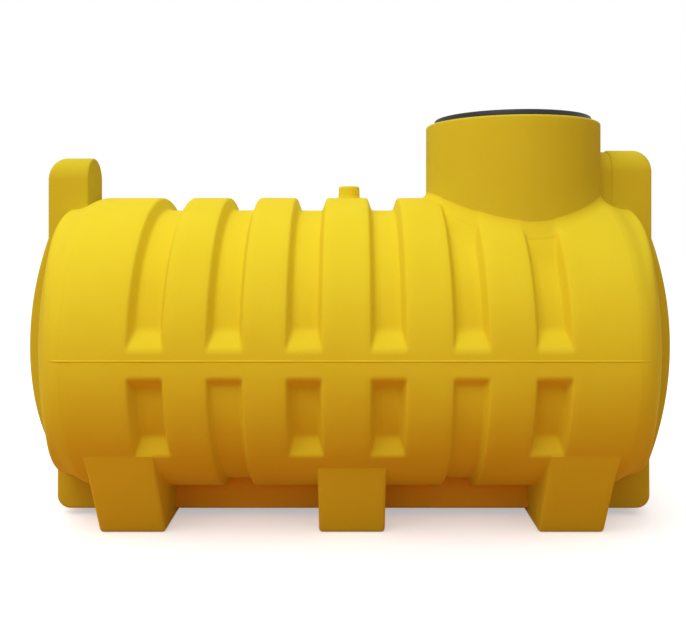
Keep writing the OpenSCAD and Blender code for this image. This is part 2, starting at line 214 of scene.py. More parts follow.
def body_air(x, y, z):
    """Field that is negative in the body and positive in air, with heights counted from
    the barrel axis. It joins the air outside band, bevel, ring and dish with the air in
    the grooves. The dish is an arc seen from the side, turned about an upright axis. A
    groove is what lies above its floor, between its two drafted flanks and beyond its
    ramps, which are straight lines in the plane of unrolled arc length and radius, and
    above a cone round the neck, on which the grooves run out towards the manhole."""
    body, groove = bpy.context.scene.tank_body, bpy.context.scene.tank_groove
    band, ring, r = body.radius, body.ring_radius, np.hypot(y, z)
    run, rise, bevel_edge = body.shoulder_run, band - ring, 0.7 * body.shoulder
    bevel = ((np.abs(x) - BAND_X) * rise + (r - band) * run) / math.hypot(run, rise)
    out = round_meet(round_join(r - band, bevel, bevel_edge), r - ring, body.shoulder)
    turned_at = np.hypot(np.abs(x) - body.dish_reach + body.dish_plan, y)
    dish = np.hypot(turned_at - body.dish_plan + body.dish_side, z) - body.dish_side
    out = round_join(out, dish, body.knuckle)
    up = np.arcsin(z / np.maximum(r, 1e-9))
    places = np.array(groove.places[:])
    near = np.abs(x[..., None] - places).argmin(-1)
    off = np.abs(x - places[near])
    through = np.array(groove.through[:])[near]
    flank = ((groove.width / 2 - off + (r - band) * math.tan(groove.draft))
             * math.cos(groove.draft))

    def ramp(t, start, floor):
        g = math.atan2(groove.depth, (band - groove.depth / 2) * abs(floor - start))
        return math.sin(g) * band * t + math.cos(g) * (r - band)

    soft = groove.floor_edge
    upper = ramp(up - groove.top_start, groove.top_start, groove.top_floor)
    lower = ramp(-up - groove.low_start, groove.low_start, groove.low_floor)
    above_foot = ramp(groove.foot_end + up, groove.foot_end, groove.foot_floor)
    lower = np.where(through, lower, round_meet(lower, above_foot, soft))
    hole = bpy.context.scene.tank_manhole
    collar = (math.cos(hole.collar_slope) * (r - band + hole.collar_depth)
              + math.sin(hole.collar_slope) * (np.hypot(x - NECK_X, y) - hole.neck_radius))
    cut = np.where(up > 0, round_meet(upper, collar, 2 * soft), lower)
    deep = np.where(through & (up < 0), groove.through_depth, groove.depth)
    cut = round_meet(r - (band - deep), round_meet(flank, cut, soft), soft)
    return round_join(out, cut, body.band_edge)


def cast(start, way, depth=0.0, reach=0.95, halvings=26):
    """Distance from points inside the body along a direction to where body_air equals
    minus the depth, found by halving the interval from 0 to the reach again and again."""
    x, y, z, dx, dy, dz = np.broadcast_arrays(*(np.asarray(v, float) for v in (*start, *way)))
    low, high = np.zeros(x.shape), np.full(x.shape, reach)
    for _ in range(halvings):
        mid = (low + high) / 2
        air = body_air(x + mid * dx, y + mid * dy, z + mid * dz) + depth > 0
        low, high = np.where(air, low, mid), np.where(air, mid, high)
    return (low + high) / 2


def ripple(x, y, z):
    """Slow unevenness of a moulded skin: three products of sines with wave lengths from
    0.25 to 0.9 m, as a fraction of the ripple height."""
    return (np.sin(7.1 * x + 1.3) * np.sin(9.7 * z + 0.4 + 2.0 * y) * 0.6
            + np.sin(15.3 * x + 0.7) * np.sin(12.1 * y - 5.2 * z) * 0.3
            + np.sin(24.0 * x - 3.0 * z) * np.sin(19.0 * z + 11.0 * y + 2.0) * 0.25)


def barrel_radius(x, a, depth=0.0):
    """Radius of the body at x and an angle a up from the front, plus the ripple of the
    skin, which fades out towards the seam with the end."""
    body = bpy.context.scene.tank_body
    wave = ripple(x, np.cos(a), np.sin(a)) * body.ripple
    fade = np.clip((SEAM_X - np.abs(x)) / body.ripple_fade, 0, 1)
    return cast((x, 0, 0), (0, -np.cos(a), np.sin(a)), depth) + wave * fade


def on_barrel(x, a, r):
    """Point at x along the axis, angle a up from the front and radius r."""
    return coords(x, -r * np.cos(a), AXIS_Z + r * np.sin(a))


def skin_height(x, y, sign=1):
    """Height above (sign 1) or below (sign -1) the axis of the body over a point (x, y),
    with the ripple of the skin there."""
    high = cast((x, y, 0), (0, 0, sign))
    r = np.hypot(y, high)
    return sign * high * barrel_radius(x, np.arctan2(sign * high, -y)) / r


def groove_lines(reach, step):
    """Places along the axis for the grid lines of the barrel: on each groove flank they
    follow both roundings in equal turns, and elsewhere they are a step apart."""
    body, groove = bpy.context.scene.tank_body, bpy.context.scene.tank_groove
    turn = math.pi / 2 - groove.draft
    t = np.linspace(0, turn, 8)
    r1, r2 = body.band_edge, groove.floor_edge
    half = groove.width / 2
    foot = half - groove.depth * math.tan(groove.draft)
    top = half + r1 * math.tan(turn / 2) - r1 * np.sin(t)
    low = foot - r2 * math.tan(turn / 2) + r2 * np.sin(t[::-1])
    flank = np.concatenate([top, np.linspace(top[-1], low[0], 5)[1:-1], low])
    fixed = np.concatenate([np.concatenate([p - flank, p + flank])
                            for p in np.array(groove.places[:])])
    fixed = np.sort(np.concatenate([fixed, [-reach, reach]]))
    fixed = fixed[np.abs(fixed) <= reach]
    gaps = np.diff(fixed)
    count = np.maximum(1, np.ceil(gaps / step)).astype(int)
    lines = [np.linspace(a, b, n, endpoint=False) for a, b, n in zip(fixed[:-1], fixed[1:], count)]
    return np.unique(np.round(np.append(np.concatenate(lines), reach), 6))


def flip_out(co, loops, start, total):
    """Turns every face round if the signed volume of the fans of triangles is negative."""
    face = np.repeat(np.arange(len(total)), total)
    first = loops[start][face]
    after = np.arange(len(loops)) + 1
    after[start + total - 1] = start
    a, b, c = co[first], co[loops], co[loops[after]]
    if np.einsum("ij,ij->", a, np.cross(b, c)) >= 0:
        return loops
    inside = np.arange(len(loops)) - start[face]
    return loops[start[face] + (total[face] - 1 - inside)]


def compact(faces):
    """Loops, starts and totals of padded faces: -1 and repeats of the next corner drop."""
    valid = faces >= 0
    key = np.where(valid, np.arange(faces.shape[1]), 99)
    order = np.argsort(key, axis=1, kind="stable")
    f = np.take_along_axis(faces, order, 1)
    count = valid.sum(1)
    col = np.arange(f.shape[1])
    nxt = np.where(col[None, :] + 1 < count[:, None], np.roll(f, -1, 1), f[:, :1])
    keep = (col[None, :] < count[:, None]) & (f != nxt)
    f, keep = f[keep.sum(1) > 2], keep[keep.sum(1) > 2]
    total = keep.sum(1)
    return f[keep], np.cumsum(total) - total, total


def put_mesh(name, co, faces, sharp=40):
    """New object at the origin from points and padded faces. Points closer than a
    hundredth of a millimetre are merged, and edges sharper than the angle stay crisp."""
    co = np.asarray(co, float).reshape(-1, 3)
    _, first, back = np.unique(np.round(co * 1e5).astype(np.int64), axis=0,
                               return_index=True, return_inverse=True)
    co = co[first]
    faces = np.where(faces >= 0, back.reshape(-1)[np.maximum(faces, 0)], -1)
    loops, start, total = compact(faces)
    used, loops = np.unique(loops, return_inverse=True)
    co, loops = co[used], flip_out(co[used], loops.reshape(-1), start, total)
    mesh = bpy.data.meshes.new(name)
    mesh.vertices.add(len(co))
    mesh.vertices.foreach_set("co", co.astype(np.float32).ravel())
    mesh.loops.add(len(loops))
    mesh.loops.foreach_set("vertex_index", loops.astype(np.int32))
    mesh.polygons.add(len(total))
    mesh.polygons.foreach_set("loop_start", start.astype(np.int32))
    mesh.polygons.foreach_set("loop_total", total.astype(np.int32))
    mesh.update(calc_edges=True)
    if mesh.validate():
        raise RuntimeError(name + ": the mesh had faces that Blender dropped")
    mesh.shade_smooth()
    mesh.set_sharp_from_angle(angle=sharp * DEG)
    piece = bpy.data.objects.new(name, mesh)
    bpy.context.scene.collection.objects.link(piece)
    return piece


def tube(name, rings, closing="none", sharp=40):
    """Skin of quads between neighbouring rings of points that each close on themselves.
    The first and last ring are poles and stay as they are (none), are closed by a face
    each (caps), or are joined to each other (loop)."""
    rings = np.asarray(rings)
    count, points = rings.shape[:2]
    k = np.arange(count * points).reshape(count, points)
    if closing == "loop":
        k = np.concatenate([k, k[:1]])
    n = np.roll(k, -1, 1)
    faces = np.stack([k[:-1], n[:-1], n[1:], k[1:]], -1).reshape(-1, 4)
    if closing == "caps":
        quads, faces = faces, np.full((len(faces) + 2, points), -1)
        faces[:-2, :4] = quads
        faces[-2:] = k[0, ::-1], k[-1]
    return put_mesh(name, rings, faces, sharp)


def turned(name, profile, axis, centre, segments):
    """Surface of revolution: each profile point (along, radius) goes round the axis x or
    z through the centre at equal angles. Points on the axis become poles."""
    along, radius = np.array(profile, float).T
    t = np.linspace(0, 2 * math.pi, segments, endpoint=False)
    c, s, along = np.outer(radius, np.cos(t)), np.outer(radius, np.sin(t)), along[:, None]
    grid = coords(along, c, s) if axis == "x" else coords(c, s, along)
    return tube(name, grid + np.array(centre), "loop" if radius[0] > 0 else "none")


def arc(centre, radius, start, end, count=7):
    """Points of a circular arc, in degrees, as (first, second) coordinates."""
    t = np.linspace(start, end, count) * DEG
    return coords(centre[0] + radius * np.cos(t), centre[1] + radius * np.sin(t))


def ridge(name, crest, base, side, half, edge, flare, lean=0.03, sink=0.005):
    """Raised ridge carried along a path. At each step the profile stands on the base
    point towards the crest point: a flat top, a quarter circle, a wall that leans out
    by lean, a quarter circle that flares out along the body, and a sunk underside.
    Both roundings shrink where the ridge runs out."""
    up = crest - base
    tall = np.linalg.norm(up, axis=1)
    up = up / np.maximum(tall, 1e-9)[:, None]
    fit = np.minimum(1, tall / (edge + flare))[:, None]
    r1, r2, tall = edge * fit, flare * fit, tall[:, None]
    t = np.linspace(0, math.pi / 2, 7)
    top = np.linspace(0, 1, 4)[:-1]
    w = [(half - r1) * top, half - r1 + r1 * np.sin(t), half + r2 - r2 * np.cos(t),
         half + r2, 0 * r2]
    h = [tall + 0 * top, tall - r1 + r1 * np.cos(t), r2 - r2 * np.sin(t),
         0 * tall - sink, 0 * tall - sink]
    w, h = np.concatenate(w, 1), np.concatenate(h, 1)
    w = w + lean * np.clip(tall - h, 0, None) * (w > 0.5 * half)
    w = np.concatenate([w, -w[:, -2:0:-1]], 1)
    h = np.concatenate([h, h[:, -2:0:-1]], 1)
    grid = base[:, None] + h[..., None] * up[:, None] + w[..., None] * np.array(side, float)
    return tube(name, grid, "caps")


# ---- materials ------------------------------------------------------------------

def linear(hex_value):
    """sRGB hex value as linear red, green, blue and alpha."""
    c = [int(hex_value[i:i + 2], 16) / 255 for i in (1, 3, 5)]
    return [v / 12.92 if v <= 0.04045 else ((v + 0.055) / 1.055) ** 2.4 for v in c] + [1.0]


def add_node(tree, kind, values=None, links=None, **settings):
    """Adds a node, sets its properties and socket values, and links sockets of other
    nodes into it."""
    node = tree.nodes.new(kind)
    for key, value in settings.items():
        setattr(node, key, value)
    for key, value in (values or {}).items():
        node.inputs[key].default_value = value
    for key, (source, socket) in (links or {}).items():
        tree.links.new(source.outputs[socket], node.inputs[key])
    return node


def new_material(name):
    """Material with an empty tree, and the tree."""
    material = bpy.data.materials.new(name)
    material.use_nodes = True
    tree = material.node_tree
    tree.nodes.clear()
    return material, tree


def place_in(tree):
    """Object coordinates, which are metres from the frame's origin."""
    return add_node(tree, "ShaderNodeTexCoord"), "Object"


def noise(tree, place, scale, detail=2.0, roughness=0.5):
    """Noise with so many waves a metre."""
    return add_node(tree, "ShaderNodeTexNoise",
                    {"Scale": scale, "Detail": detail, "Roughness": roughness},
                    {"Vector": place}), "Fac"


def spread(tree, source, start, end, low, high):
    """Value that goes from low to high while the source goes from start to end."""
    return add_node(tree, "ShaderNodeMapRange", {1: start, 2: end, 3: low, 4: high},
                    {0: source}), 0


def blend(tree, share, under, over):
    """Colour that goes from one to the other, a hex value, with the share."""
    values, links = {7: linear(over)}, {0: share}
    if isinstance(under, str):
        values[6] = linear(under)
    else:
        links[6] = under
    return add_node(tree, "ShaderNodeMix", values, links, data_type="RGBA"), 2


def maths(tree, operation, *terms):
    """Operation on numbers and sockets."""
    links = {i: term for i, term in enumerate(terms) if isinstance(term, tuple)}
    values = {i: term for i, term in enumerate(terms) if i not in links}
    return add_node(tree, "ShaderNodeMath", values, links, operation=operation), 0


def dents(tree, height, strength, distance, **under):
    """Bumps from a height pattern, on top of others where a Normal is given."""
    return add_node(tree, "ShaderNodeBump", {"Strength": strength, "Distance": distance},
                    {"Height": height, **under}), 0


def cover(tree, values, **links):
    """Principled surface and the material's output."""
    links = {name.replace("_", " "): link for name, link in links.items()}
    surface = add_node(tree, "ShaderNodeBsdfPrincipled", values, links)
    add_node(tree, "ShaderNodeOutputMaterial", {}, {"Surface": (surface, 0)})


def polyethylene(dull=False):
    """Rotomoulded linear polyethylene, pigmented yellow: a matt skin with the slow
    orange peel of powder that melted in a blasted steel mould, cloudy depth from its
    slight translucency, and scuffs from handling. The shaded copy, for neck, housings
    and spine, is a darker yellow as painted shade, with painted warm shade low down."""
    finish = bpy.context.scene.tank_finish
    # the shaded copy is the same yellow darkened as painted shade
    tone = "dull_yellow" if dull else "yellow"
    light, deep = ((finish.yellow_dull, finish.yellow_dull_deep) if dull
                   else (finish.yellow, finish.yellow_deep))
    material, tree = new_material("rotomoulded_polyethylene_" + tone)
    place = place_in(tree)
    # clouds about 350 mm across, where the wall is a little thicker or thinner
    cloud = noise(tree, place, 2.8, 3.0, 0.55)
    colour = blend(tree, cloud, light, deep)
    if dull:
        # painted shade: warm ochre shade low on the keel, under the barrel, fading out 300 mm up
        # and towards the ends
        where = add_node(tree, "ShaderNodeSeparateXYZ", {}, {0: place})
        low = spread(tree, (where, "Z"), 0.13, 0.30, 1.0, 0.0)
        inward = spread(tree, maths(tree, "ABSOLUTE", (where, "X")), 0.85, 1.00, 1.0, 0.15)
        colour = blend(tree, maths(tree, "MULTIPLY", low, inward), colour, finish.keel_painted_shade)
    # pigment specks of undispersed powder: 1 mm in the real skin, drawn 4 mm wide to show
    speck = spread(tree, noise(tree, place, 240.0), 0.60, 0.75, 0.0, 0.10)
    colour = blend(tree, speck, colour, finish.speck)
    # scuffs: long thin marks some 60 mm long and 4 mm wide, rougher and paler
    stretch = add_node(tree, "ShaderNodeMapping",
                       {"Scale": (3.0, 22.0, 22.0), "Rotation": (0.2, 0.5, 0.1)},
                       {"Vector": place})
    scuff = spread(tree, noise(tree, (stretch, 0), 3.0, 6.0, 0.7), 0.64, 0.74, 0.0, 0.16)
    colour = blend(tree, scuff, colour, finish.scuff)
    # orange peel: bumps 9 mm apart and a tenth of a millimetre high, over 45 mm waves
    peel = dents(tree, noise(tree, place, 110.0), 0.35, 0.0002)
    waves = dents(tree, noise(tree, place, 22.0, 1.0), 0.5, 0.0012, Normal=peel)
    # matt all over, and a little more so in the clouds and on the scuffs
    rough = maths(tree, "ADD", spread(tree, cloud, 0.3, 0.7, 0.80, 0.90), scuff)
    cover(tree, {"IOR": 1.51, "Specular IOR Level": 0.12, "Subsurface Weight": 0.10,
                 "Subsurface Radius": (0.012, 0.007, 0.001), "Subsurface Scale": 1.0},
          Base_Color=colour, Roughness=rough, Normal=waves)
    return material


def lid_plastic():
    """Black polypropylene lid, injection moulded in an eroded tool: satin, with a fine
    even grain and a thin veil of dust that dulls it in patches."""
    finish = bpy.context.scene.tank_finish
    material, tree = new_material("moulded_polypropylene_black")
    place = place_in(tree)
    # dust in patches some 110 mm across, which also make the satin uneven
    dust = noise(tree, place, 9.0, 5.0, 0.6)
    veil = spread(tree, dust, 0.45, 0.75, 0.0, 0.05)
    # erosion grain: 0.5 mm in the real lid, drawn 2.5 mm wide to show
    grain = dents(tree, noise(tree, place, 400.0, 1.0), 0.3, 0.0002)
    cover(tree, {"IOR": 1.49}, Base_Color=blend(tree, veil, finish.black, finish.dust),
          Roughness=spread(tree, dust, 0.3, 0.7, 0.42, 0.60), Normal=grain)
    return material


def seal_rubber():
    """Vulcanised rubber, pressed in a polished mould and dusted with talc: dull black
    with grey bloom in the hollows."""
    finish = bpy.context.scene.tank_finish
    material, tree = new_material("vulcanised_rubber_black")
    place = place_in(tree)
    # talc bloom in clouds 30 mm across, over a grit of 2 mm
    veil = spread(tree, noise(tree, place, 33.0, 4.0), 0.4, 0.8, 0.0, 0.2)
    grit = dents(tree, noise(tree, place, 500.0), 0.2, 0.0002)
    cover(tree, {"IOR": 1.52, "Roughness": 0.78},
          Base_Color=blend(tree, veil, finish.rubber, finish.talc), Normal=grit)
    return material


MAKERS = {"yellow_polyethylene": polyethylene, "black_plastic": lid_plastic,
          "seal_rubber": seal_rubber}
MADE = {}


def material_of(slot, **look):
    """Material of a slot, made once for each look."""
    key = (slot, *look)
    if key not in MADE:
        MADE[key] = MAKERS[slot](**look)
    return MADE[key]


def finish_piece(piece, slot, *nodes, **look):
    """Gives a piece its material, lets it ride on the tank and stand for its nodes."""
    piece.data.materials.clear()
    piece.data.materials.append(material_of(slot, **look))
    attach(piece, "root")
    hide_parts(*nodes)


# ---- pieces ---------------------------------------------------------------------

def skin(name, angles, hole):
    """Thick skin of the barrel over a range of angles. Outer and inner surface are
    on_barrel(x, a, barrel_radius(x, a)) at depth 0 and at the wall's depth. Cells that
    cross the manhole's circle are cut along the line between the two points where the
    circle crosses their edges, and every open edge gets a face across the wall."""
    body = bpy.context.scene.tank_body
    x, a = np.meshgrid(groove_lines(SEAM_X, step=0.022), angles, indexing="ij")
    outer = barrel_radius(x, a)
    field = (x - NECK_X) ** 2 + (outer * np.cos(a)) ** 2 - hole ** 2
    field = np.where(np.sin(a) > 0.3, field, 1.0)  # the circle is cut in the top only
    keep = field > 0
    index = np.arange(x.size).reshape(x.shape)

    def crossings(axis, used):
        f0, f1 = (field[:-1], field[1:]) if axis == 0 else (field[:, :-1], field[:, 1:])
        mark = (f0 > 0) != (f1 > 0)
        ids = np.full(f0.shape, -1)
        ids[mark] = used + np.arange(mark.sum())
        share = (f0 / np.where(mark, f0 - f1, 1))[mark]
        cut = [(g[:-1] + 0, g[1:] + 0) if axis == 0 else (g[:, :-1], g[:, 1:]) for g in (x, a)]
        return ids, [g0[mark] + share * (g1[mark] - g0[mark]) for g0, g1 in cut]

    along, cut_along = crossings(0, x.size)
    around, cut_around = crossings(1, x.size + len(cut_along[0]))
    xs = np.concatenate([x.ravel(), cut_along[0], cut_around[0]])
    angs = np.concatenate([a.ravel(), cut_along[1], cut_around[1]])
    corner = np.where(keep, index, -1)
    faces = np.stack([corner[:-1, :-1], along[:, :-1], corner[1:, :-1], around[1:],
                      corner[1:, 1:], along[:, 1:], corner[:-1, 1:], around[:-1]], -1)
    faces = faces.reshape(-1, 8)
    faces = faces[(faces >= 0).sum(1) > 2]
    loops, start, total = compact(faces)
    after = np.arange(len(loops)) + 1
    after[start + total - 1] = start
    size = len(xs)
    pair, back = loops * size + loops[after], loops[after] * size + loops
    edge = ~np.isin(pair, back)
    p, q = loops[edge], loops[after][edge]
    rim = np.full((len(p), 8), -1)
    rim[:, :4] = np.stack([q, p, p + size, q + size], -1)
    inside = np.where(faces >= 0, faces + size, -1)[:, ::-1]
    points = np.concatenate([on_barrel(xs, angs, barrel_radius(xs, angs)),
                             on_barrel(xs, angs, barrel_radius(xs, angs, body.wall))])
    return put_mesh(name, points, np.concatenate([faces, inside, rim]))


def skin_angles():
    """Angles of the grid lines above and below the parting line, close together where
    the ramps begin and end."""
    groove, near = bpy.context.scene.tank_groove, 1.6

    def ramp_lines(start, floor):
        low, high = sorted((start / DEG, floor / DEG))
        return np.concatenate([np.linspace(low - near, low + near, 7),
                               np.linspace(low + near, high - near, 5),
                               np.linspace(high - near, high + near, 7)])

    upper = np.concatenate([[0, 1.2], ramp_lines(groove.top_start, groove.top_floor),
                            np.arange(15, 90, 2.5), [90]])
    lower = np.concatenate([[0, 2.4], ramp_lines(groove.low_start, groove.low_floor),
                            np.arange(17, 31, 2.5),
                            ramp_lines(groove.foot_floor, groove.foot_end),
                            np.arange(43, 90, 3.0), [90]])
    upper, lower = np.unique(np.round(upper, 4)), np.unique(np.round(lower, 4))
    return (np.concatenate([upper, 180 - upper[-2::-1]]) * DEG,
            np.concatenate([lower, 180 - lower[-2::-1]]) * -DEG)


class TANK_OT_barrel(bpy.types.Operator):
    """Grooved barrel skins above and below the parting line"""
    bl_idname = "tank.barrel"
    bl_label = "Barrel skins"

    def execute(self, context):
        upper, lower = skin_angles()
        hole = context.scene.tank_manhole.neck_radius - SKIN_TUCK
        finish_piece(skin("barrel_upper_skin", upper, hole), "yellow_polyethylene",
                     "upper_front_shell", "upper_back_shell", "belt_front", "belt_back")
        finish_piece(skin("barrel_lower_skin", lower, hole), "yellow_polyethylene",
                     "lower_front_shell", "lower_back_shell")
        return {"FINISHED"}


class TANK_OT_ends(bpy.types.Operator):
    """Dished ends with their bevels and rings. Rays leave a point on the axis: from the
    crown of the dish to the seam with the barrel skin they turn away from the axis in
    steps, and each ring of rays goes round at the same angles as the barrel skin."""
    bl_idname = "tank.ends"
    bl_label = "Dished ends"

    def execute(self, context):
        body = context.scene.tank_body
        upper, lower = skin_angles()
        around = np.concatenate([upper[:-1], 2 * math.pi + lower[:0:-1]])
        start, dish_depth = 0.70, 0.09
        wide = math.atan2(body.radius, SEAM_X - start)
        bend = math.atan2(body.ring_radius, body.dish_reach - dish_depth - start)
        lean = np.concatenate([np.linspace(0, bend, 26), np.linspace(bend, wide, 44)[1:]])
        t, a = np.meshgrid(lean, around, indexing="ij")
        for name, sign in (("end_dome_inlet", 1), ("end_dome_outlet", -1)):
            way = np.stack([sign * np.cos(t), -np.sin(t) * np.cos(a), np.sin(t) * np.sin(a)])
            outer, inner = (np.moveaxis(cast((sign * start, 0, 0), way, depth) * way, 0, -1)
                            + (sign * start, 0, AXIS_Z) for depth in (0.0, body.wall))
            piece = tube("skin_" + name, np.concatenate([outer, inner[::-1]]))
            finish_piece(piece, "yellow_polyethylene", name)
        return {"FINISHED"}


def resample(points, count):
    """Points at equal steps of arc length along a polyline."""
    run = np.append(0, np.cumsum(np.linalg.norm(np.diff(points, axis=0), axis=1)))
    t = np.linspace(0, run[-1], count)
    return coords(*(np.interp(t, run, values) for values in points.T))


def spine_end(reach):
    """One end of the spine as two lines in the plane of x and height: the outer edge
    from above the rib, down its arc, round the keel corner to below the end band, and
    the foot of the wall on the body, found by rays along x and then by rays that turn
    down to the end band."""
    sizes = bpy.context.scene.tank_spine
    y = sizes.half_width + sizes.flare
    in_housing, in_barrel, keel_x = 0.43, 0.5, 0.96
    z = np.linspace(in_housing, -sizes.keel_top, 40)
    crest = coords(np.sqrt(sizes.rib_radius ** 2 - (z + sizes.rib_drop) ** 2), z)
    base = coords(in_barrel + cast((in_barrel, y, z), (1, 0, 0)), z)
    crest[:, 0] += (reach - crest[-1, 0]) * np.clip(-z / sizes.keel_top, 0, 1) ** 4
    c = sizes.keel_corner
    bottom = arc((reach - c, -sizes.keel_depth + c), c, 0, -90, 12)
    turn = np.concatenate([crest[-1:], bottom, [[keel_x, -sizes.keel_depth]]])
    # the rays turn about a hub inside the barrel, down to a point under the end band
    hub = np.array([0.80, -0.25])
    first, last = base[-1] - hub, np.array([0.955, -0.552]) - hub
    t = np.linspace(math.atan2(first[1], first[0]), math.atan2(last[1], last[0]), 60)
    run = cast((hub[0], y, hub[1]), (np.cos(t), 0 * t, np.sin(t)))
    low = hub + run[:, None] * coords(np.cos(t), np.sin(t))
    turn, low = resample(turn, 44), resample(low, 44)
    return np.concatenate([crest, turn[1:]]), np.concatenate([base, low[1:]])


class TANK_OT_spine(bpy.types.Operator):
    """End ribs and the keel under the barrel, as one ridge from housing to housing"""
    bl_idname = "tank.spine"
    bl_label = "Ribs and keel"

    def execute(self, context):
        sizes = context.scene.tank_spine
        right_crest, right_base = spine_end(sizes.keel_inlet)
        left_crest, left_base = spine_end(sizes.keel_outlet)
        x = groove_lines(reach=0.950, step=0.03)
        crest = np.concatenate([left_crest * (-1, 1), coords(x, -sizes.keel_depth),
                                right_crest[::-1]])
        under = skin_height(x, sizes.half_width + sizes.flare, -1)
        base = np.concatenate([left_base * (-1, 1), coords(x, under), right_base[::-1]])
        crest, base = (coords(p[:, 0], 0, p[:, 1] + AXIS_Z) for p in (crest, base))
        piece = ridge("rib_and_keel_skin", crest, base, (0, 1, 0), sizes.half_width,
                      sizes.edge, sizes.flare)
        # painted shade: ribs and keel take the darker shaded yellow and painted warm shade low
        # down
        finish_piece(piece, "yellow_polyethylene", "end_rib_inlet", "end_rib_outlet",
                     "keel_end_outlet", "keel_outlet", "keel_inlet", "keel_end_inlet", dull=True)
        return {"FINISHED"}


def housing(name, top, pipe, sign):
    """Pipe housing as rings round the pipe hole. The outline is a tombstone: straight
    sides and a half circle on top. A ring is the outline moved inwards by an inset, at
    a place x along the tank; inset and place follow quarter circles at both edges. The
    outer face runs to the hole's circle, and the hole goes in as far as its depth.
    Beside the neck, the housing runs on as a slightly narrower web that ends on the
    neck's circle."""
    sizes = bpy.context.scene.tank_spine
    w, foot, hole_depth, e = sizes.half_width, 0.385, 0.12, 0.008
    side, half = np.linspace(foot, top - w, 10), np.linspace(0, math.pi, 40)
    under = np.linspace(-w, w, 12)
    y = np.concatenate([w + 0 * side, w * np.cos(half), -w + 0 * side, under])
    z = np.concatenate([side, top - w + w * np.sin(half), side[::-1], foot + 0 * under])
    ny = np.concatenate([1 + 0 * side, np.cos(half), -1 + 0 * side, 0 * under])
    nz = np.concatenate([0 * side, np.sin(half), 0 * side, -1 + 0 * under])
    keep = np.append(True, np.hypot(np.diff(y), np.diff(z)) > 1e-6)
    y, z, ny, nz = y[keep], z[keep], ny[keep], nz[keep]
    inner_x, face = sizes.face - sizes.housing_length, sizes.face
    c = e + (sizes.housing_corner - e) * np.clip(nz, 0, 1) ** 1.5
    rings = []

    def ring(x, inset):
        rings.append(coords(x, y - ny * inset, z - nz * inset))

    end_x, inset = inner_x, e
    if sign > 0:
        neck = bpy.context.scene.tank_manhole.neck_radius - SKIN_TUCK
        inset = sizes.web_step
        end_x = NECK_X + np.sqrt(neck ** 2 - (y - ny * inset) ** 2)
    pole = coords(end_x, 0 * y, pipe)
    rings.append(pole)
    for k in (0.35, 0.75, 1.0):
        ring(end_x, inset)
        rings[-1] = pole + k * (rings[-1] - pole)
    for t in np.linspace(0, math.pi / 2, 6):
        ring(inner_x + e - e * math.cos(t), inset - inset * math.sin(t))
    ring(inner_x + 0.05, 0)
    for t in np.linspace(0, math.pi / 2, 9):
        ring(face - c + c * math.sin(t), c - c * math.cos(t))
    edge, turn = rings[-1], np.arctan2(z - pipe, y)
    lip = coords(face, sizes.hole_radius * np.cos(turn), pipe + sizes.hole_radius * np.sin(turn))
    rings += [edge + k * (lip - edge) for k in (0.5, 1.0)]
    rings += [lip - (d, 0, 0) for d in (0.008, 0.05, hole_depth)]
    rings.append(coords(face - hole_depth, 0 * y, pipe))
    grid = np.array(rings)
    grid[..., 0] *= sign
    grid[..., 2] += AXIS_Z
    return tube("skin_" + name, grid, sharp=35)


class TANK_OT_housings(bpy.types.Operator):
    """Pipe housings at both ends"""
    bl_idname = "tank.housings"
    bl_label = "Pipe housings"

    def execute(self, context):
        s = context.scene.tank_spine
        for name, top, pipe, sign in (("housing_inlet", s.inlet_top, s.inlet_pipe, 1),
                                      ("housing_outlet", s.outlet_top, s.outlet_pipe, -1)):
            # painted shade: the housings take the darker shaded yellow
            finish_piece(housing(name, top, pipe, sign), "yellow_polyethylene", name, dull=True)
        return {"FINISHED"}


class TANK_OT_seals(bpy.types.Operator):
    """Rubber pipe seals with a rounded flange and two wiping lips"""
    bl_idname = "tank.seals"
    bl_label = "Pipe seals"

    def execute(self, context):
        s = context.scene.tank_spine
        bore, hole, flange = s.pipe_radius, s.hole_radius, 0.073
        profile = np.concatenate([
            [[-0.012, bore], [-0.012, hole + 0.004]],
            arc((-0.0095, hole + 0.0025), 0.0015, 90, 0, 3), [[-0.008, hole], [0.0, hole]],
            [[0.0, flange]], arc((0.002, flange - 0.002), 0.002, 90, 10, 5),
            arc((-0.001, bore + 0.006), 0.005, 60, 0, 4), [[0.003, bore + 0.001], [0.001, bore]]])
        for name, sign, z in (("seal_inlet", 1, s.inlet_pipe), ("seal_outlet", -1, s.outlet_pipe)):
            piece = turned("skin_" + name, profile * (sign, 1), "x",
                           (sign * s.face, 0, AXIS_Z + z), 96)
            finish_piece(piece, "seal_rubber", name)
        return {"FINISHED"}


def foot_skin(name, x, leave):
    """Saddle foot as a ridge along x. Its crest line comes down the flank from where it
    leaves the barrel, round the sole's corner and across the sole, and its base line is
    the crest drawn in towards the axis as far as the barrel."""
    foot, body = bpy.context.scene.tank_foot, bpy.context.scene.tank_body
    r, lift, lean_room = body.radius - 0.0005, 0.0008, 0.002
    start = np.array([-math.cos(leave), -math.sin(leave)]) * (r + lift)
    corner = np.array([-foot.sole, -AXIS_Z])
    d = (corner - start) / np.linalg.norm(corner - start)
    bend = math.acos(d[0])
    cut = foot.sole_corner * math.tan(bend / 2)
    centre = corner + (cut, foot.sole_corner)
    flank = start + np.linspace(0, 1, 18)[:, None] * (corner - cut * d - start)
    curve = arc(centre, foot.sole_corner, 270 - bend / DEG, 270, 6)
    sole = coords(np.linspace(corner[0] + cut, 0, 10), -AXIS_Z)
    half = np.concatenate([flank, curve[1:], sole[1:]])
    line = np.concatenate([half, half[-2::-1] * (-1, 1)])
    base = line * (r / np.linalg.norm(line, axis=1))[:, None]
    crest, base = (coords(x, p[:, 0], p[:, 1] + AXIS_Z) for p in (line, base))
    return ridge("skin_" + name, crest, base, (1, 0, 0), foot.half_length - lean_room,
                 foot.edge, foot.flare)


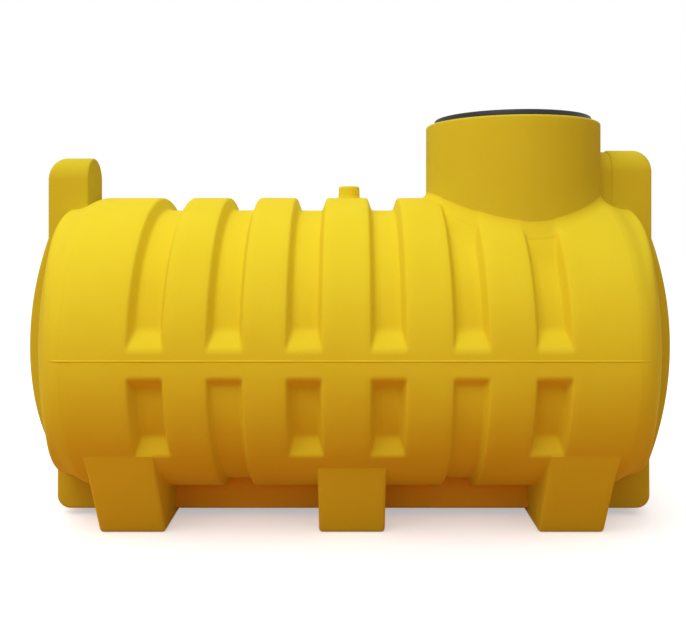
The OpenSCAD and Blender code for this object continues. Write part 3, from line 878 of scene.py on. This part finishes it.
class TANK_OT_feet(bpy.types.Operator):
    """Three saddle feet"""
    bl_idname = "tank.feet"
    bl_label = "Saddle feet"

    def execute(self, context):
        foot = context.scene.tank_foot
        for name, x, leave in zip(("foot_outlet", "foot_centre", "foot_inlet"), foot.places[:],
                                  (foot.end_angle, foot.middle_angle, foot.end_angle)):
            finish_piece(foot_skin(name, x, leave), "yellow_polyethylene", name)
        return {"FINISHED"}


class TANK_OT_neck(bpy.types.Operator):
    """Manhole neck with its turned-in rim. The profile of (radius, height) goes round a
    vertical axis; at its foot the height is the barrel's surface there, with a flare."""
    bl_idname = "tank.neck"
    bl_label = "Manhole neck"

    def execute(self, context):
        hole, wall = context.scene.tank_manhole, context.scene.tank_body.wall
        t = np.linspace(0, 2 * math.pi, 240, endpoint=False)
        radius, top = hole.neck_radius, NECK_TOP - AXIS_Z
        rings = []

        def ring(r, z=None, lift=0.0):
            px, py = NECK_X + r * np.cos(t), r * np.sin(t)
            high = skin_height(px, py) + lift if z is None else z
            rings.append(coords(px, py, AXIS_Z + high))

        f = hole.base_flare
        ring(radius - wall, None, -0.006)
        ring(radius + f, None, -0.004)
        for k in np.linspace(0, math.pi / 2, 9):
            ring(radius + f - f * math.sin(k), None, f - f * math.cos(k))
        flare = rings[-1]
        for share in (0.3, 0.6, 0.85):
            low = flare[:, 2] - AXIS_Z
            high = low + share * (top - hole.rim_edge - low)
            rings.append(coords(flare[:, 0], flare[:, 1], AXIS_Z + high))
        e = hole.rim_edge
        for k in np.linspace(0, math.pi / 2, 7):
            ring(radius - e + e * math.cos(k), top - e + e * math.sin(k))
        inner = radius - hole.rim_width
        ring(inner + 0.02, top)
        lip = 0.5 * hole.rim_height
        for k in np.linspace(0, math.pi, 9):
            ring(inner + lip - lip * math.sin(k), top - lip + lip * math.cos(k))
        ring(radius - wall - 0.006, top - hole.rim_height)
        ring(radius - wall, top - hole.rim_height - 0.006)
        ring(radius - wall, None, 0.004)
        piece = tube("skin_manhole_neck", rings, "loop")
        # painted shade: the neck takes the darker shaded yellow
        finish_piece(piece, "yellow_polyethylene", "manhole_neck", dull=True)
        # the rounding at the foot has the barrel's own yellow, without the neck's painted shade
        piece.data.materials.append(material_of("yellow_polyethylene"))
        middle = np.empty(3 * len(piece.data.polygons))
        piece.data.polygons.foreach_get("center", middle)
        x, y, _ = middle.reshape(-1, 3).T
        outside = np.hypot(x - NECK_X, y) > radius + 0.0005
        piece.data.polygons.foreach_set("material_index", outside.astype(np.int32))
        return {"FINISHED"}


class TANK_OT_lid(bpy.types.Operator):
    """Black lid with its skirt and spigot, on its gasket"""
    bl_idname = "tank.lid"
    bl_label = "Lid and gasket"

    def execute(self, context):
        m = context.scene.tank_manhole
        inner = m.neck_radius - m.rim_width
        flat = np.array([[0, inner], [m.gasket, inner], [m.gasket, m.lid_radius - 0.004],
                         [0, m.lid_radius - 0.004]])
        gasket = turned("skin_lid_gasket", flat, "z", (NECK_X, 0, NECK_TOP), 128)
        finish_piece(gasket, "seal_rubber", "lid_gasket")
        r, h, crown = m.lid_radius, m.lid_height, m.lid_crown
        s = np.linspace(0, 0.86 * r, 12)
        crest = coords(h + crown * (1 - (s / r) ** 2), s)
        profile = np.concatenate([
            crest, [[h - 0.001, 0.885 * r], [h - 0.0015, 0.90 * r], [h + 0.002, 0.925 * r]],
            arc((h - 0.004, r - 0.006), 0.006, 0, 90, 6), [[0.001, r], [0.0, r - 0.001]],
            [[0.0, r - 0.022], [0.012, r - 0.0225], [0.012, inner - 0.008],
             [-0.012, inner - 0.009], [-0.014, inner - 0.011], [-0.012, inner - 0.013],
             [h - 0.007, inner - 0.014]],
            (crest - (0.006, 0))[crest[:, 1] < inner - 0.03][::-1]])
        lid = turned("skin_manhole_lid", profile, "z", (NECK_X, 0, NECK_TOP + m.gasket), 160)
        finish_piece(lid, "black_plastic", "manhole_lid")
        return {"FINISHED"}


class TANK_OT_vent(bpy.types.Operator):
    """Vent boss on the middle band"""
    bl_idname = "tank.vent"
    bl_label = "Vent boss"

    def execute(self, context):
        r, flare = context.scene.tank_manhole.vent_radius, 0.006
        profile = np.concatenate([
            [[TOP_Z - flare, 0], [TOP_Z - flare, r + flare]],
            arc((TOP_Z + flare, r + flare), flare, 180, 270, 5),
            arc((VENT_TOP - 0.009, r - 0.010), 0.009, 90, 0, 7),
            [[VENT_TOP, 0.5 * r], [VENT_TOP, 0]]])
        piece = turned("skin_vent_boss", profile, "z", (VENT_X, 0, 0), 72)
        finish_piece(piece, "yellow_polyethylene", "vent_boss")
        return {"FINISHED"}


class TANK_OT_beads(bpy.types.Operator):
    """Rounded beads left by the parting line, front and back, carried along the belt
    and down both shoulders with a height that wanders a little"""
    bl_idname = "tank.beads"
    bl_label = "Parting beads"

    def execute(self, context):
        end, half_width, run_out = 1.0, 0.0036, 0.03
        x = np.concatenate([-np.linspace(end, 0.96, 20), np.linspace(-0.95, 0.95, 120),
                            np.linspace(0.96, end, 20)])
        for name, a, out in (("parting_bead_front", 0.0, -1), ("parting_bead_back", math.pi, 1)):
            t = np.linspace(0, math.pi, 8)
            stand = 0.0017 + 0.0006 * np.sin(31 * x) * np.sin(13 * x + 1)
            fade = np.clip((end - np.abs(x)) / run_out, 0.05, 1)
            across = half_width * np.append(np.cos(t), [-1, 1])
            high = np.append(np.sin(t), [-0.8, -0.8])
            radial = barrel_radius(x, a)[:, None] - 0.0002 + (stand * fade)[:, None] * high
            grid = coords(x[:, None], out * radial, AXIS_Z + across)
            piece = tube("skin_" + name, grid, "caps")
            finish_piece(piece, "yellow_polyethylene", name)
        return {"FINISHED"}


def seen_rays(tree):
    """Value that is 1 for what the camera, a mirror or a glass shows, and 0 for light
    that falls on the tank."""
    path = add_node(tree, "ShaderNodeLightPath")
    direct = maths(tree, "MAXIMUM", (path, "Is Camera Ray"), (path, "Is Glossy Ray"))
    return maths(tree, "MAXIMUM", direct, (path, "Is Transmission Ray"))


class TANK_OT_stage(bpy.types.Operator):
    """Plain pale floor, soft studio light and the camera"""
    bl_idname = "tank.stage"
    bl_label = "Studio"

    def execute(self, context):
        scene, finish = context.scene, context.scene.tank_finish
        white = (1, 1, 1, 1)
        half = 30.0
        corners = [(-half, -half, 0), (half, -half, 0), (half, half, 0), (-half, half, 0)]
        mesh = bpy.data.meshes.new("studio_floor")
        mesh.from_pydata(corners, [], [(0, 1, 2, 3)])
        floor = bpy.data.objects.new("studio_floor", mesh)
        scene.collection.objects.link(floor)
        # white paper with its shadow for the eye, warm and dimmer as a source of bounced light
        material, tree = new_material("studio_paper")
        seen = seen_rays(tree)
        paper = add_node(tree, "ShaderNodeBsdfDiffuse", {},
                         {"Color": blend(tree, seen, finish.bounce, finish.floor)})
        glow = add_node(tree, "ShaderNodeEmission", {"Color": white},
                        {"Strength": maths(tree, "MULTIPLY", seen, 0.42)})
        both = add_node(tree, "ShaderNodeAddShader", {}, {0: (paper, 0), 1: (glow, 0)})
        add_node(tree, "ShaderNodeOutputMaterial", {}, {"Surface": (both, 0)})
        mesh.materials.append(material)
        # a studio ceiling lighter than the walls, and the wall by the outlet lighter than
        # the rest, with plain white behind the tank
        world = scene.world = bpy.data.worlds.new("studio_air")
        world.use_nodes = True
        tree = world.node_tree
        tree.nodes.clear()
        way = add_node(tree, "ShaderNodeTexCoord")
        way = add_node(tree, "ShaderNodeSeparateXYZ", {}, {0: (way, "Generated")})
        level = maths(tree, "ADD", spread(tree, (way, "X"), -1.0, 1.0, 0.10, -0.30),
                      spread(tree, (way, "Z"), 0.0, 1.0, 0.40, 1.12))
        air = add_node(tree, "ShaderNodeBackground", {"Color": white}, {"Strength": level})
        plain = add_node(tree, "ShaderNodeBackground", {"Color": white, "Strength": 1.0})
        mix = add_node(tree, "ShaderNodeMixShader", {},
                       {0: seen_rays(tree), 1: (air, 0), 2: (plain, 0)})
        add_node(tree, "ShaderNodeOutputWorld", {}, {"Surface": (mix, 0)})
        lamp = bpy.data.lights.new("overhead_softbox", "AREA")
        lamp.shape, lamp.size, lamp.size_y, lamp.energy = "RECTANGLE", 3.4, 2.6, 86
        box = bpy.data.objects.new("overhead_softbox", lamp)
        aim = Vector((-1.1, -2.9, 3.4))
        box.location = aim + Vector((0, 0, 0.8))
        box.rotation_euler = aim.to_track_quat("Z", "Y").to_euler()
        scene.collection.objects.link(box)
        data = bpy.data.cameras.new("camera")
        data.sensor_width, data.lens = 36, 40.62
        data.shift_x, data.shift_y = -0.0102, -0.1159
        camera = bpy.data.objects.new("camera", data)
        camera.location = (0, -3.100, AXIS_Z + 0.430)
        camera.rotation_euler = (90 * DEG, 0, 0)
        scene.collection.objects.link(camera)
        scene.camera = camera
        scene.view_settings.view_transform = "Standard"
        return {"FINISHED"}


GROUPS = {"tank_body": TankBodySizes, "tank_groove": TankGrooveSizes,
          "tank_spine": TankSpineSizes, "tank_foot": TankFootSizes,
          "tank_manhole": TankManholeSizes, "tank_finish": TankFinishes}
PIECES = (TANK_OT_barrel, TANK_OT_ends, TANK_OT_spine, TANK_OT_housings, TANK_OT_seals,
          TANK_OT_feet, TANK_OT_neck, TANK_OT_lid, TANK_OT_vent, TANK_OT_beads, TANK_OT_stage)


class TANK_PT_panel(bpy.types.Panel):
    """Lists the pieces and their sizes"""
    bl_idname = "TANK_PT_panel"
    bl_label = "Septic tank"
    bl_space_type = "VIEW_3D"
    bl_region_type = "UI"
    bl_category = "Tank"

    def draw(self, context):
        for piece in PIECES:
            self.layout.operator(piece.bl_idname)
        for key, group in GROUPS.items():
            box = self.layout.box()
            box.label(text=group.__doc__)
            for name in group.__annotations__:
                box.prop(getattr(context.scene, key), name)


def register():
    for group in (*GROUPS.values(), *PIECES, TANK_PT_panel):
        bpy.utils.register_class(group)
    for key, group in GROUPS.items():
        setattr(bpy.types.Scene, key, bpy.props.PointerProperty(type=group))


def unregister():
    for key in GROUPS:
        delattr(bpy.types.Scene, key)
    for group in (TANK_PT_panel, *PIECES[::-1], *GROUPS.values()):
        bpy.utils.unregister_class(group)


def main():
    register()
    for piece in PIECES:
        getattr(bpy.ops.tank, piece.bl_idname.split(".")[1])()


if __name__ == "__main__":
    main()
